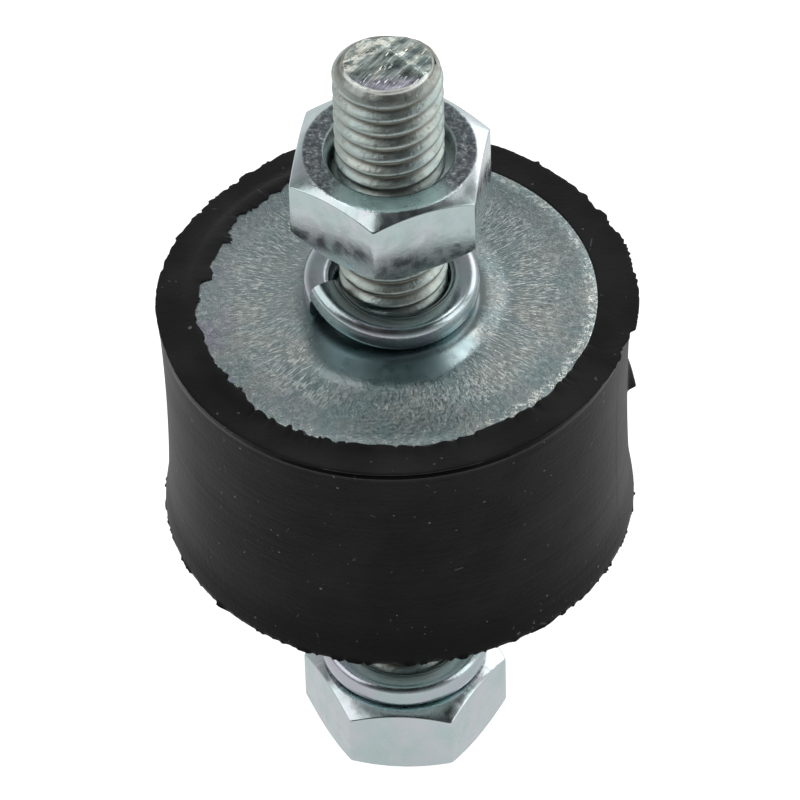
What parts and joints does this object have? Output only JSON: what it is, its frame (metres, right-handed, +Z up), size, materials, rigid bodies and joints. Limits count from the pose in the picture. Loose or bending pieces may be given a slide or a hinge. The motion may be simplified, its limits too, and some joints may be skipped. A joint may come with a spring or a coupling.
{
  "type": "bobbin vibration mount",
  "caption": "Waisted round rubber vibration mount bonded to a steel plate at each end, with a threaded stud, split washer and hexagon nut at each end.",
  "frame": {"origin": "middle of the foot: the outer face of the lower nut, flush with the lower stud's end, at the bottom of the bounding box", "axes": "+Z up along the studs' common axis, through the rubber to the upper stud; X and Y across it"},
  "size_m": [0.0266, 0.0266, 0.0515],
  "materials": {
    "rubber": "matt moulded black rubber",
    "zinc_plate": "zinc plate with a fine wrinkled grain, blue-grey",
    "zinc_stud": "bright zinc plate on rolled thread",
    "zinc_washer": "bright zinc plate on spring steel",
    "zinc_nut": "bright blue-white zinc plate"
  },
  "bodies": {
    "mount": {"rubber_body": "rubber", "upper_plate": "zinc_plate", "lower_plate": "zinc_plate", "upper_stud": "zinc_stud", "lower_stud": "zinc_stud", "upper_spring_washer": "zinc_washer"},
    "upper_nut": {"upper_nut": "zinc_nut"},
    "lower_nut": {"lower_nut": "zinc_nut", "lower_spring_washer": "zinc_washer"}
  },
  "joints": [
    {"name": "upper_nut_travel", "type": "slide", "parent": "mount", "child": "upper_nut", "axis": [0, 0, 1], "range_m": [-0.003, 0.006]},
    {"name": "lower_nut_travel", "type": "slide", "parent": "mount", "child": "lower_nut", "axis": [0, 0, 1], "range_m": [0, 0.009]}
  ]
}
